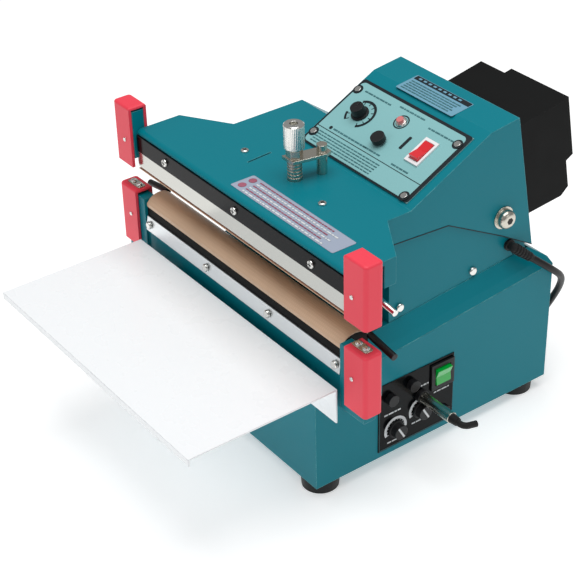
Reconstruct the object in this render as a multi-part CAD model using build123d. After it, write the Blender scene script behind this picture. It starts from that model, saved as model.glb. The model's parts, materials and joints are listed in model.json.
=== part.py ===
from build123d import *
import math
import os

# Table-top double-bar impulse sealer, closed by a solenoid. Millimetres, +Z up.
# Working axes: X along the jaws (0 at mid length), Y from the base front towards the rear, Z from the
# floor. On export every piece is moved along Y, so that the origin is at the bottom centre of the machine.

# ---------------------------------------------------------------- driving dimensions
SHEET = 2.0
BASE_HALF_W = 127.5
BASE_DEPTH = 291.0
FOOT_H = 14.0
SHELF_Z = 122.0
COVER_FRONT_Y = 52.0
EAVE_Z = 122.0
RIDGE_RISE = 24.0
ROOF_SLOPE = 0.09
RIDGE_HALF_W = 115.5
RIDGE_REAR_Y = 268.0

PIVOT_Y, PIVOT_Z = 230.0, 218.0
SHAFT_R = 6.0
RUNNING_GAP = 0.05
CHEEK_X = 115.0
CHEEK_T = 3.0

ARM_HALF_W = 117.5
WING_HALF_W = 167.0
DECK_Z = 266.5
BOX_LEFT_X = -50.0
PANEL_FOOT_Y = 117.0
PANEL_SLOPE = 0.5

JAW_FRONT_Y = 8.0
JAW_REAR_Y = 38.0
LUG_HALF_W = 190.0
CAP_INNER_X, CAP_OUTER_X = 167.2, 196.0
CAP_FRONT_Y, CAP_REAR_Y = 2.0, 22.0
CAP_WALL = 3.0
LOWER_CAP_Z = (136.0, 200.0)
UPPER_CAP_Z = (227.0, 291.0)
ELEMENT_TOP_Z = 197.6
UPPER_JAW_Z = 225.0
CLOSING_DEG = 6.5

TABLE_Z = 149.0
TABLE_HALF_W = 160.0
TABLE_FRONT_Y = -156.0
TABLE_FLANGE_Z = 112.6

ROD_X, ROD_Y = 6.0, 72.0
REAR_WALL_TOP = (244.0, 317.2)
REAR_WALL_FOOT = (270.6, 172.5)
HOUSING_LEAN = math.atan2(REAR_WALL_FOOT[0] - REAR_WALL_TOP[0], REAR_WALL_TOP[1] - REAR_WALL_FOOT[1])
HOUSING_TOP_Z = 306.0
HOUSING_TOP = (REAR_WALL_TOP[0] + (REAR_WALL_TOP[1] - HOUSING_TOP_Z) * math.tan(HOUSING_LEAN), HOUSING_TOP_Z)
HOUSING_DEPTH = 63.0

CORD_D = 7.0
COIL_X, COIL_Y = -30.0, 352.0
COIL_OUTER_R, COIL_INNER_R = 45.0, 31.0
CORD_ROUTE = [
    (130.0, 259.0, 168.0), (135.0, 271.0, 158.0), (137.0, 284.0, 147.0), (134.0, 298.0, 134.0),
    (125.0, 307.0, 116.0), (113.0, 311.0, 94.0), (100.0, 312.0, 70.0), (86.0, 311.5, 46.0),
    (70.0, 310.5, 25.0), (54.0, 309.6, 11.5), (38.0, 308.2, 4.2), (20.0, 307.0, 3.5), (2.0, 307.0, 3.5),
]

REAR_Y = (HOUSING_TOP[0] + HOUSING_DEPTH * math.cos(HOUSING_LEAN)
          + 65.0 * math.sin(HOUSING_LEAN))
ORIGIN_Y = (TABLE_FRONT_Y + REAR_Y) / 2


# ---------------------------------------------------------------- helpers
def save(name, *solids):
    """Write one node, moved so that the origin is under the middle of the machine."""
    moved = [Pos(0, -ORIGIN_Y, 0) * s for s in solids]
    shape = moved[0] if len(moved) == 1 else Compound(children=[s.solid() for s in moved])
    export_step(shape, f"parts/{name}.step")


def block(x0, x1, y0, y1, z0, z1):
    return Pos((x0 + x1) / 2, (y0 + y1) / 2, (z0 + z1) / 2) * Box(abs(x1 - x0), abs(y1 - y0), abs(z1 - z0))


def rod(start, direction, radius, length):
    base = (Align.CENTER, Align.CENTER, Align.MIN)
    return Plane(origin=start, z_dir=direction) * Cylinder(radius, length, align=base)


def taper(start, direction, radius0, radius1, length):
    base = (Align.CENTER, Align.CENTER, Align.MIN)
    return Plane(origin=start, z_dir=direction) * Cone(radius0, radius1, length, align=base)


def side_profile(points, x0, x1):
    """A (y, z) outline swept along X."""
    outline = [Vector(x0, y, z) for y, z in points]
    return extrude(Face(Wire.make_polygon(outline, close=True)), amount=x1 - x0, dir=(1, 0, 0))


def plan_profile(points, z0, z1):
    """An (x, y) outline swept along Z."""
    outline = [Vector(x, y, z0) for x, y in points]
    return extrude(Face(Wire.make_polygon(outline, close=True)), amount=z1 - z0, dir=(0, 0, 1))


def pan_screw(seat, direction, head_r, head_h, shank=4.0):
    """Pan-head screw: rounded head on the seat, shank behind it."""
    away = Vector(*direction).normalized()
    head = rod(seat, direction, head_r, head_h)
    head = fillet(head.edges().filter_by(GeomType.CIRCLE).sort_by(Axis(seat, direction))[-1], head_h * 0.6)
    stem = rod(Vector(*seat) - away * shank, direction, head_r * 0.45, shank)
    return head + stem


def drilled(part, seats, direction, head_r, depth=6.0):
    """Clearance holes for the screws' shanks."""
    away = Vector(*direction).normalized()
    for seat in seats:
        part -= rod(Vector(*seat) - away * depth, direction, head_r * 0.45 + 0.15, depth + 2.0)
    return part


def mirrored(solid):
    return mirror(solid, about=Plane.YZ)


def roof_z(rise, y):
    return EAVE_Z + rise + ROOF_SLOPE * y


def roof_face(half_w, y0, y1, rise):
    corners = [(-half_w, y0), (half_w, y0), (half_w, y1), (-half_w, y1)]
    return Face(Wire.make_polygon([Vector(x, y, roof_z(rise, y)) for x, y in corners], close=True))


def panel_point(x, y, lift=0.0):
    """A point on the sloped control panel, lifted along its normal."""
    z = DECK_Z + PANEL_SLOPE * (y - PANEL_FOOT_Y)
    return Vector(x, y, z) + PANEL_NORMAL * lift


PANEL_NORMAL = Vector(0, -PANEL_SLOPE, 1).normalized()


def on_panel(x, y, lift=0.0):
    """A working plane on the panel: its x along X, its y up the slope."""
    return Plane(origin=panel_point(x, y, lift), x_dir=(1, 0, 0), z_dir=PANEL_NORMAL)


def housing_point(out, down):
    """(y, z) from the distance out of the leaning rear wall and the distance down along it."""
    c, s = math.cos(HOUSING_LEAN), math.sin(HOUSING_LEAN)
    return (HOUSING_TOP[0] + out * c + down * s, HOUSING_TOP[1] + out * s - down * c)


# ---------------------------------------------------------------- base
FOOT_SPOTS = [(sx * 107.0, y) for sx in (-1, 1) for y in (20.0, 268.0)]
TRAY_SCREWS = [(100.0, -1.5, 118.0), (-100.0, -1.5, 118.0)]
DIAL_SPOTS = {"timer_dial_front": (94.0, 41.0), "timer_dial_rear": (124.0, 50.0)}
HOLDER_SPOTS = [(87.0, 79.5), (113.0, 84.5)]
JACK_SPOT = (124.5, 66.0)
STUD_SPOT = (155.0, 35.0)
SWITCH_SPOT = (150.5, 80.0)
BARREL_LENGTH = 40.0


def make_base_tray():
    walls = side_profile([(0, FOOT_H), (BASE_DEPTH, FOOT_H), (BASE_DEPTH, roof_z(0, BASE_DEPTH)),
                          (COVER_FRONT_Y, roof_z(0, COVER_FRONT_Y)), (COVER_FRONT_Y, SHELF_Z), (0, SHELF_Z)],
                         -BASE_HALF_W, BASE_HALF_W)
    inner = BASE_HALF_W - SHEET
    walls -= block(-inner, inner, SHEET, BASE_DEPTH - SHEET, 0, SHELF_Z - SHEET)
    walls -= block(-inner, inner, COVER_FRONT_Y, BASE_DEPTH - SHEET, 100, 200)
    for row in range(6):
        walls -= block(-60, 60, BASE_DEPTH - 10, BASE_DEPTH + 10, 50 + row * 10, 54 + row * 10)
    y, z = SWITCH_SPOT
    walls -= block(BASE_HALF_W - 5, BASE_HALF_W + 5, y - 11.2, y + 11.2, z - 11.2, z + 11.2)
    for y, z in list(DIAL_SPOTS.values()) + HOLDER_SPOTS + [JACK_SPOT, STUD_SPOT]:
        walls -= rod((BASE_HALF_W - 5, y, z), (1, 0, 0), 4.5, 10)
    return drilled(walls, TRAY_SCREWS, (0, -1, 0), 4.0, 8.0)


def make_bottom_plate():
    plate = block(-BASE_HALF_W + SHEET, BASE_HALF_W - SHEET, SHEET, BASE_DEPTH - SHEET, FOOT_H, FOOT_H + SHEET)
    for x, y in FOOT_SPOTS:
        plate -= rod((x, y, 0), (0, 0, 1), 2.3, 30)
    return plate


def make_top_cover():
    """Hipped sheet cover: steep shoulder, softer hip, flat roof, all sloping up to the rear."""
    outer_stages = [(BASE_HALF_W, BASE_DEPTH, 0.0), (124.0, 286.0, 9.0),
                    (RIDGE_HALF_W, RIDGE_REAR_Y, RIDGE_RISE)]
    cover = None
    for (w0, r0, h0), (w1, r1, h1) in zip(outer_stages, outer_stages[1:]):
        lower = roof_face(w0, COVER_FRONT_Y, r0, h0)
        upper = roof_face(w1, COVER_FRONT_Y, r1, h1)
        stage = loft([lower, upper], ruled=True)
        hollow = loft([roof_face(w0 - SHEET, COVER_FRONT_Y + SHEET, r0 - SHEET, h0 - 0.01 if h0 == 0 else h0),
                       roof_face(w1 - SHEET, COVER_FRONT_Y + SHEET, r1 - SHEET,
                                 h1 if h1 < RIDGE_RISE else h1 - SHEET)], ruled=True)
        part = stage - hollow
        cover = part if cover is None else cover + part
    return cover - block(ROD_X - 9, ROD_X + 9, ROD_Y - 10, ROD_Y + 22, 130, 170)


def make_feet():
    feet = []
    screws = []
    for x, y in FOOT_SPOTS:
        foot = taper((x, y, 0), (0, 0, 1), 18.0, 19.0, FOOT_H)
        foot -= rod((x, y, 0), (0, 0, 1), 6.5, 6.0)
        foot -= rod((x, y, 0), (0, 0, 1), 2.3, 20.0)
        feet.append(foot)
        screws.append(rod((x, y, 2.5), (0, 0, 1), 5.0, 3.5) + rod((x, y, 6.0), (0, 0, 1), 2.0, 14.0))
    return feet, screws


CHEEK_SCREWS = [(CHEEK_X, 107.0, 167.0), (CHEEK_X, 196.0, 171.0)]
RELIEF_LENGTH = 24.0


def make_cheek():
    """Right-hand upright of the bracket that carries the arm."""
    outline = [(95, roof_z(RIDGE_RISE, 95)), (264, roof_z(RIDGE_RISE, 264)), (252, 230), (212, 230), (200, 236),
               (165, 246), (95, 241)]
    cheek = side_profile(outline, CHEEK_X - CHEEK_T, CHEEK_X)
    cheek -= rod((CHEEK_X - 10, PIVOT_Y, PIVOT_Z), (1, 0, 0), 9.05, 20)
    return cheek


def make_front_web():
    """Cross plate that joins the two uprights."""
    edge = CHEEK_X - CHEEK_T
    outline = [(95, roof_z(RIDGE_RISE, 95)), (98, roof_z(RIDGE_RISE, 98)), (98, 236), (95, 236)]
    return side_profile(outline, -edge, edge)


def make_bush(side):
    bush = rod((side * 108.0, PIVOT_Y, PIVOT_Z), (side, 0, 0), 9.0, 7.2)
    return bush - rod((side * 100.0, PIVOT_Y, PIVOT_Z), (side, 0, 0), SHAFT_R + RUNNING_GAP, 30)


# ---------------------------------------------------------------- lower jaw
STRIP_HALF_W = 156.0
RAIL_HALF_W = 165.8
STRIP_SCREWS = [(x, 5.6, 168.0) for x in (-150.0, -50.0, 50.0, 150.0)]


def make_lug(side, inner_x, z0, z1):
    """Upright end plate of a jaw beam, covered by an end cap."""
    return block(side * inner_x, side * LUG_HALF_W, CAP_FRONT_Y + CAP_WALL + 0.6,
                 CAP_REAR_Y - CAP_WALL - 0.4, z0, z1)


def make_lower_beam():
    w = 163.0
    beam = block(-w, w, JAW_FRONT_Y, 48, SHELF_Z, 160.4)
    beam -= block(-w + 3, w - 3, JAW_FRONT_Y + 2.5, 45.5, 0, 157.4)
    for side in (-1, 1):
        beam += make_lug(side, STRIP_HALF_W + 1, 126, 194)
    return beam


def make_clamp_strip():
    outline = [(8.4, 160.5), (5.2, 160.5), (7.2, 175.9), (8.4, 175.9)]
    strip = side_profile(outline, -STRIP_HALF_W, STRIP_HALF_W)
    return drilled(strip, STRIP_SCREWS, (0, -1, 0), 4.0)


def jaw_crown(front, rear, spring_z, rise):
    """Face of a bar with an arched top, in the YZ plane."""
    mid = (front + rear) / 2
    arch = ThreePointArc((0, front, spring_z), (0, mid, spring_z + rise), (0, rear, spring_z))
    floor = Polyline((0, rear, spring_z), (0, rear, 160.4), (0, front, 160.4), (0, front, spring_z))
    return make_face([arch, floor])


def make_heater_bar():
    face = jaw_crown(JAW_FRONT_Y + 0.6, JAW_REAR_Y - 0.6, 189.4, 7.4)
    bar = Pos(-STRIP_HALF_W, 0, 0) * extrude(face, amount=2 * STRIP_HALF_W, dir=(1, 0, 0))
    bar -= block(-200, 200, 20, 26, 196.0, 205)
    return drilled(bar, STRIP_SCREWS, (0, -1, 0), 4.0, 10.0)


def make_lower_ptfe():
    outer = jaw_crown(JAW_FRONT_Y, JAW_REAR_Y, 189.4, 8.2)
    cover = Pos(-STRIP_HALF_W, 0, 0) * extrude(outer, amount=2 * STRIP_HALF_W, dir=(1, 0, 0))
    inner = jaw_crown(JAW_FRONT_Y + 0.6, JAW_REAR_Y - 0.6, 189.4, 7.45)
    cover -= Pos(-200, 0, 0) * extrude(inner, amount=400, dir=(1, 0, 0))
    return cover & block(-200, 200, 0, 60, 186.0, 210)


def make_cap(z0, z1):
    """Right-hand end cap: open to the inside and below."""
    cap = block(CAP_INNER_X, CAP_OUTER_X, CAP_FRONT_Y, CAP_REAR_Y, z0, z1)
    cap = fillet(cap.edges().filter_by(Axis.Z).sort_by(Axis.X)[-2:], 4.0)
    cap = fillet(cap.edges().group_by(Axis.Z)[-1], 2.5)
    return cap - block(CAP_INNER_X - 1, CAP_OUTER_X - CAP_WALL, CAP_FRONT_Y + CAP_WALL,
                       CAP_REAR_Y - CAP_WALL, z0 - 1, z1 - CAP_WALL)


def make_tension_rod(side, z0, z1, x0, x1, radius):
    """Spring-loaded rod end that keeps the heating element tight."""
    start = Vector(side * x0, 36.0, z0)
    direction = Vector(side * x1, 36.0, z1) - start
    return rod(start, direction, radius, direction.length)


# ---------------------------------------------------------------- worktable
def make_worktable():
    table = block(-TABLE_HALF_W, TABLE_HALF_W, TABLE_FRONT_Y, 0, TABLE_Z - 1.5, TABLE_Z)
    table += block(-TABLE_HALF_W, TABLE_HALF_W, -1.5, 0, TABLE_FLANGE_Z, TABLE_Z)
    table += block(-TABLE_HALF_W, TABLE_HALF_W, TABLE_FRONT_Y, TABLE_FRONT_Y + 1.5, TABLE_Z - 7, TABLE_Z)
    return drilled(table, TRAY_SCREWS, (0, -1, 0), 4.0)


# ---------------------------------------------------------------- side controls
def make_side_panel():
    x = BASE_HALF_W
    panel = block(x, x + 0.8, 73, 165.5, 21, 98)
    y, z = SWITCH_SPOT
    panel -= block(x - 1, x + 2, y - 11.2, y + 11.2, z - 11.2, z + 11.2)
    for y, z in list(DIAL_SPOTS.values()) + HOLDER_SPOTS + [JACK_SPOT, STUD_SPOT]:
        panel -= rod((x - 5, y, z), (1, 0, 0), 4.5, 10)
    return panel


def make_switch_housing():
    y, z = SWITCH_SPOT
    x = BASE_HALF_W + 0.8
    housing = block(x, x + 2.2, y - 14, y + 14, z - 14.5, z + 14.5)
    housing += block(x - 12, x, y - 11, y + 11, z - 11, z + 11)
    return housing - block(x - 9, x + 10, y - 9.5, y + 9.5, z - 10, z + 10)


def rocker_outline(length, thickness):
    """Shallow V of a rocker's face, in (out, along)."""
    return [(-2.0, -length), (thickness, -length), (thickness - 2.0, 0), (thickness, length), (-2.0, length)]


def make_green_rocker():
    y, z = SWITCH_SPOT
    face = Face(Wire.make_polygon([Vector(a, -8.8, b) for a, b in rocker_outline(8.4, 4.2)], close=True))
    rocker = extrude(face, amount=17.6, dir=(0, 1, 0))
    return Pos(BASE_HALF_W + 1.2, y, z) * Rot(0, 7, 0) * rocker


def make_dial(spot):
    """Skirted timer knob with a pointer groove and its spindle."""
    y, z = spot
    x = BASE_HALF_W + 1.0
    dial = rod((x, y, z), (1, 0, 0), 9.0, 2.5) + taper((x + 2.5, y, z), (1, 0, 0), 8.0, 7.4, 6.5)
    dial += rod((x - 10, y, z), (1, 0, 0), 3.0, 10)
    pointer = block(x + 8, x + 11, y - 0.7, y + 0.7, z, z + 7.5)
    return dial - Pos(0, y, z) * Rot(30, 0, 0) * Pos(0, -y, -z) * pointer


def make_panel_fittings():
    x = BASE_HALF_W + 0.8
    holders = [rod((x, y, z), (1, 0, 0), 6.0, 6.0) + rod((x - 15, y, z), (1, 0, 0), 4.3, 15)
               for y, z in HOLDER_SPOTS]
    y, z = STUD_SPOT
    stud = Plane(origin=(x, y, z), z_dir=(1, 0, 0)) * extrude(RegularPolygon(5.5, 6), 3.5)
    stud += rod((x - 8, y, z), (1, 0, 0), 3.0, 14)
    return holders + [stud]


def make_jack_socket():
    y, z = JACK_SPOT
    x = BASE_HALF_W + 0.8
    socket = rod((x, y, z), (1, 0, 0), 6.6, 4.5) + rod((x - 32, y, z), (1, 0, 0), 4.4, 32)
    return socket - rod((x - 31, y, z), (1, 0, 0), 3.3, 60)


def make_jack_plug():
    """Foot-switch plug: pin, chrome barrel and bent rubber boot."""
    y, z = JACK_SPOT
    x = BASE_HALF_W + 5.6
    plug = rod((x - 28, y, z), (1, 0, 0), 3.2, 28) + rod((x, y, z), (1, 0, 0), 5.6, BARREL_LENGTH)
    boot_x = x + BARREL_LENGTH
    plug += taper((boot_x, y, z), (1, 0, 0), 5.0, 4.2, 8)
    path = FilletPolyline((boot_x + 8, y, z), (boot_x + 16, y, z - 0.5), (boot_x + 18.5, y + 14, z - 2),
                          radius=7)
    return plug + sweep(Plane(path @ 0, z_dir=path % 0) * Circle(3.2), path=path)


# ---------------------------------------------------------------- drive inside the base
def make_solenoid_frame():
    frame = block(-24, 36, 50, 114, 16, 70) - block(-30, 42, 46, 110, 20, 66)
    return frame - rod((ROD_X, 80, 60), (0, 0, 1), 9.4, 20)


def make_solenoid_coil():
    return rod((ROD_X, 80, 20), (0, 0, 1), 25.0, 46) - rod((ROD_X, 80, 10), (0, 0, 1), 9.4, 80)


def make_plunger():
    plunger = rod((ROD_X, 80, 42), (0, 0, 1), 9.0, 62) + rod((ROD_X, 80, 104), (0, 0, 1), 13.0, 4)
    return plunger + block(ROD_X - 5, ROD_X + 5, 74, 86, 108, 116)


def make_return_spring():
    height = 31.6
    path = Pos(ROD_X, 80, 71.2) * Helix(pitch=height / 6, height=height, radius=11.2)
    return sweep(Plane(path @ 0, z_dir=path % 0) * Circle(0.9), path=path)


def make_transformer():
    core = block(-105, -25, 170, 230, 16, 84)
    core -= block(-92, -75, 160, 240, 29, 71)
    core -= block(-55, -38, 160, 240, 29, 71)
    left = block(-91.5, -75.5, 164, 236, 29.5, 70.5)
    right = block(-54.5, -38.5, 164, 236, 29.5, 70.5)
    return core, [left, right]


def make_circuit_board():
    board = block(4, 98, 180, 270, 26, 27.6)
    for x, y in ((10, 186), (92, 186), (10, 264), (92, 264)):
        board += rod((x, y, FOOT_H + SHEET), (0, 0, 1), 3.0, 10)
    for column in range(3):
        board += block(16 + column * 24, 34 + column * 24, 195, 215, 27.6, 43)
    return board + rod((34, 245, 27.6), (0, 0, 1), 10, 26) + rod((66, 245, 27.6), (0, 0, 1), 10, 26)


# ---------------------------------------------------------------- mains lead
def make_strain_relief():
    """Bush in the upright with a tapered sleeve in line with the lead's first run."""
    run = (Vector(*CORD_ROUTE[1]) - Vector(*CORD_ROUTE[0])).normalized()
    start = Vector(*CORD_ROUTE[0]) - run * RELIEF_LENGTH
    flange = rod((CHEEK_X, start.Y, start.Z), (1, 0, 0), 5.8, 3.0)
    neck = rod((CHEEK_X, start.Y, start.Z), (1, 0, 0), 4.6, start.X - CHEEK_X)
    knuckle = Pos(*start) * Sphere(4.9)
    return flange + neck + knuckle + taper(start, run, 4.9, CORD_D / 2 + 0.4, RELIEF_LENGTH)


def route_radii(points):
    radii = []
    for before, corner, after in zip(points, points[1:], points[2:]):
        run_in = Vector(*corner) - Vector(*before)
        run_out = Vector(*after) - Vector(*corner)
        half_turn = math.radians(run_in.get_angle(run_out)) / 2
        radii.append(0.45 * min(run_in.length, run_out.length) / math.tan(half_turn))
    return radii


def make_cord_run():
    radii = route_radii(CORD_ROUTE)
    print("cord radii", [round(r, 1) for r in radii])
    path = FilletPolyline(*CORD_ROUTE, radius=radii)
    tube = sweep(Plane(path @ 0, z_dir=path % 0) * Circle(CORD_D / 2), path=path)
    print("cord run length", round(path.length, 1), "volume ratio",
          round(tube.volume / (math.pi * CORD_D ** 2 / 4 * path.length), 4))
    return tube


COIL_ENTRY_Y = COIL_Y - COIL_OUTER_R
COIL_START = CORD_ROUTE[-1][0] - COIL_X
COIL_END = 36.0
PLUG_X = COIL_X - COIL_END


def make_cord_coil():
    """Six turns in two layers, as their outer shape, with the two straight ends."""
    base = rod((COIL_X, COIL_Y, 0), (0, 0, 1), COIL_OUTER_R + CORD_D / 2, 2 * CORD_D)
    coil = base - rod((COIL_X, COIL_Y, -1), (0, 0, 1), COIL_INNER_R - CORD_D / 2, 3 * CORD_D)
    coil += rod((COIL_X + COIL_START, COIL_ENTRY_Y, CORD_D / 2), (-1, 0, 0), CORD_D / 2, COIL_START)
    return coil + rod((COIL_X, COIL_ENTRY_Y, CORD_D * 1.5), (-1, 0, 0), CORD_D / 2, COIL_END)


def make_power_plug():
    y, z = COIL_ENTRY_Y, CORD_D * 1.5
    boot = taper((PLUG_X, y, z), (-1, 0, 0), CORD_D / 2 + 0.6, 7.5, 24)
    body = block(PLUG_X - 58, PLUG_X - 24, y - 13, y + 13, 0, 21)
    body = fillet(body.edges(), 3.0)
    blades = [block(PLUG_X - 75, PLUG_X - 58, y + s * 6.35 - 0.75, y + s * 6.35 + 0.75, z - 3.2, z + 3.2)
              for s in (-1, 1)]
    return boot + body, blades


# ---------------------------------------------------------------- arm
SEAM = [REAR_WALL_FOOT, (230, 197), (162, 234), (90, 239)]
PANEL_HEAD = (210.3, DECK_Z + PANEL_SLOPE * (210.3 - PANEL_FOOT_Y))
BOX_TOP = [(90, DECK_Z), (PANEL_FOOT_Y, DECK_Z), PANEL_HEAD, REAR_WALL_TOP]
LEFT_TOP = [(90, DECK_Z), (173, DECK_Z), (214, 236), (259.5, 233)]
DECK = [(-WING_HALF_W, JAW_FRONT_Y + 2), (WING_HALF_W, JAW_FRONT_Y + 2), (WING_HALF_W, 59), (ARM_HALF_W, 90),
        (ARM_HALF_W, 96), (-ARM_HALF_W, 96), (-ARM_HALF_W, 90), (-WING_HALF_W, 59)]
DECK_SCREWS = [(-65.0, 66.0, DECK_Z), (59.0, 63.0, DECK_Z)]
PANEL_SCREWS = [(-43.0, 186.0), (100.0, 186.0), (100.0, 124.0), (-43.0, 132.0)]
TIMER_SPOT = (-16.0, 167.0)
BUTTON_SPOT = (29.5, 154.0)
LAMP_SPOT = (30.0, 179.0)
ROCKER_SPOT = (76.5, 164.5)
ROCKER_HOLE = (15.0, 26.0)


def inset(points, distances):
    """Move each edge of a closed outline inwards by its own distance."""
    lines = []
    count = len(points)
    area = sum(p[0] * q[1] - q[0] * p[1] for p, q in zip(points, points[1:] + points[:1]))
    turn = 1 if area > 0 else -1
    for i, gap in enumerate(distances):
        (x0, y0), (x1, y1) = points[i], points[(i + 1) % count]
        length = math.hypot(x1 - x0, y1 - y0)
        nx, ny = -(y1 - y0) / length * turn, (x1 - x0) / length * turn
        lines.append((nx, ny, nx * x0 + ny * y0 + gap))
    corners = []
    for i in range(count):
        a1, b1, c1 = lines[i - 1]
        a2, b2, c2 = lines[i]
        det = a1 * b2 - a2 * b1
        corners.append(((c1 * b2 - c2 * b1) / det, (a1 * c2 - a2 * c1) / det))
    return corners


def make_arm_cover():
    """Folded sheet shell: wide deck at the front, control box, skirts down to the seam."""
    box = BOX_TOP + SEAM
    left = LEFT_TOP + SEAM
    shell = side_profile(box, BOX_LEFT_X, ARM_HALF_W) + side_profile(left, -ARM_HALF_W, BOX_LEFT_X)
    shell += plan_profile(DECK, 239, DECK_Z)
    top_front = shell.edges().filter_by(Axis.X).filter_by(
        lambda e: abs(e.center().Y - 10) < 0.1 and abs(e.center().Z - DECK_Z) < 0.1)
    shell = fillet(top_front, 4.5)
    open_seam = [SHEET] * 4 + [-30, -30, -30, -12]
    box_gap = inset(box, [SHEET, SHEET, SHEET, SHEET, -30, -30, -30, -12])
    left_gap = inset(left, open_seam)
    shell -= side_profile(box_gap, BOX_LEFT_X + SHEET, ARM_HALF_W - SHEET)
    shell -= side_profile(left_gap, -ARM_HALF_W + SHEET, BOX_LEFT_X + SHEET)
    shell -= plan_profile(inset(DECK, [SHEET] * 4 + [-8] + [SHEET] * 3), 200, DECK_Z - SHEET)
    shell -= block(-WING_HALF_W - 5, WING_HALF_W + 5, 0, 46, 200, 261.8)
    shell -= rod((ROD_X, ROD_Y, 250), (0, 0, 1), 7.3, 30)
    shell -= Pos(-47, 70, 262) * Rot(0, 0, 4) * Box(2.0, 28.0, 12.0)
    shell -= rod((-130, PIVOT_Y, PIVOT_Z), (1, 0, 0), SHAFT_R + RUNNING_GAP, 260)
    shell = drilled(shell, DECK_SCREWS, (0, 0, 1), 4.0)
    for x, y in (TIMER_SPOT, BUTTON_SPOT, LAMP_SPOT):
        shell -= on_panel(x, y, -5) * Cylinder(5.0, 14)
    return shell - on_panel(*ROCKER_SPOT, -5) * Box(*ROCKER_HOLE, 14)


def make_pivot_bolt(side):
    """Washer and domed nut on the end of the pivot shaft."""
    x = side * ARM_HALF_W
    washer = rod((x, PIVOT_Y, PIVOT_Z), (side, 0, 0), 11.5, 1.5)
    nut = rod((x + side * 1.5, PIVOT_Y, PIVOT_Z), (side, 0, 0), 9.5, 8.5)
    nut = fillet(nut.edges().filter_by(GeomType.CIRCLE).sort_by(Axis((0, 0, 0), (side, 0, 0)))[-1], 5.0)
    return washer + nut


BAR_SCREWS = [(x, JAW_FRONT_Y, 253.0) for x in (-115.0, 0.0, 115.0)]


def make_upper_beam():
    """Steel channel under the deck, with an end lug on each side."""
    beam = block(-160, 160, 12.2, 44, 231, 264.4) - block(-155, 155, 18, 40, 200, 258)
    for side in (-1, 1):
        beam += block(side * 150, side * LUG_HALF_W, 12.4, 18.4, 236, 261.6)
        beam += make_lug(side, CAP_INNER_X + 0.2, 236, 286)
    return drilled(beam, BAR_SCREWS, (0, -1, 0), 4.0, 10.0)


def make_face_bar():
    bar = block(-RAIL_HALF_W, RAIL_HALF_W, JAW_FRONT_Y, 12.2, 244.4, 261.6)
    return drilled(bar, BAR_SCREWS, (0, -1, 0), 4.0)


def make_upper_strip():
    """Bright rail below the face bar; its underside is level when the jaws are closed."""
    drop = (JAW_REAR_Y - JAW_FRONT_Y) * math.tan(math.radians(CLOSING_DEG))
    outline = [(JAW_FRONT_Y, 244.3), (JAW_FRONT_Y, UPPER_JAW_Z + 3), (JAW_REAR_Y, UPPER_JAW_Z + 3 - drop),
               (JAW_REAR_Y, 230.9), (12.1, 230.9), (12.1, 244.3)]
    return side_profile(outline, -RAIL_HALF_W, RAIL_HALF_W)


def make_pad(top, bottom, y0, y1):
    """A strip between two lines parallel to the closed jaw face, given as depths under the rail."""
    slope = math.tan(math.radians(CLOSING_DEG))

    def at(y, depth):
        return (y, UPPER_JAW_Z + 3 - depth - (y - JAW_FRONT_Y) * slope)
    return side_profile([at(y0, top), at(y1, top), at(y1, bottom), at(y0, bottom)], -RAIL_HALF_W, RAIL_HALF_W)


def make_knob_bridge():
    """Plate, guide post and lock nut that carry the pull rod's load into the deck."""
    post = rod((13, 98, DECK_Z), (0, 0, 1), 5.0, 30.0)
    plate = plan_profile([(-2.5, 64), (14.5, 64), (21, 98), (18, 105), (8, 105), (5, 98)], 286.2, 289.4)
    plate -= rod((ROD_X, ROD_Y, 280), (0, 0, 1), 4.2, 20)
    nut = Pos(ROD_X, ROD_Y, 289.4) * extrude(RegularPolygon(8.0, 6), 8.0)
    return post + plate + (nut - rod((ROD_X, ROD_Y, 280), (0, 0, 1), 4.2, 30))


def make_pull_rod():
    thread = rod((ROD_X, ROD_Y, DECK_Z - SHEET), (0, 0, 1), 7.0, 286.2 - DECK_Z + SHEET)
    for turn in range(5):
        z = DECK_Z + 3 + turn * 3.4
        groove = rod((ROD_X, ROD_Y, z), (0, 0, 1), 8, 1.2) - rod((ROD_X, ROD_Y, z), (0, 0, 1), 6.2, 1.2)
        thread -= groove
    return thread + rod((ROD_X, ROD_Y, 124), (0, 0, 1), 4.0, 196)


KNOB_FLUTES = 36


def make_pressure_knob():
    knob = rod((ROD_X, ROD_Y, 298.2), (0, 0, 1), 9.8, 25.0)
    knob = chamfer(knob.edges().filter_by(GeomType.CIRCLE), 1.2)
    for step in range(KNOB_FLUTES):
        angle = 2 * math.pi * step / KNOB_FLUTES
        spot = (ROD_X + 10.1 * math.cos(angle), ROD_Y + 10.1 * math.sin(angle), 290)
        knob -= rod(spot, (0, 0, 1), 0.5, 40)
    return knob - rod((ROD_X, ROD_Y, 290), (0, 0, 1), 4.05, 50)


def make_control_panel():
    plate = on_panel(30, 159, 0.6) * Box(156.0, 87.0, 1.2)
    for x, y in (TIMER_SPOT, BUTTON_SPOT, LAMP_SPOT):
        plate -= on_panel(x, y) * Cylinder(5.0, 14)
    plate -= on_panel(*ROCKER_SPOT) * Box(*ROCKER_HOLE, 14)
    for x, y in PANEL_SCREWS:
        plate -= on_panel(x, y) * Cylinder(1.6, 8)
    return plate


def make_panel_screw(x, y):
    screw = on_panel(x, y, 1.2) * Cylinder(3.2, 1.8, align=(Align.CENTER, Align.CENTER, Align.MIN))
    return screw + on_panel(x, y, 0.8) * Cylinder(1.4, 1.4)


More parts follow.
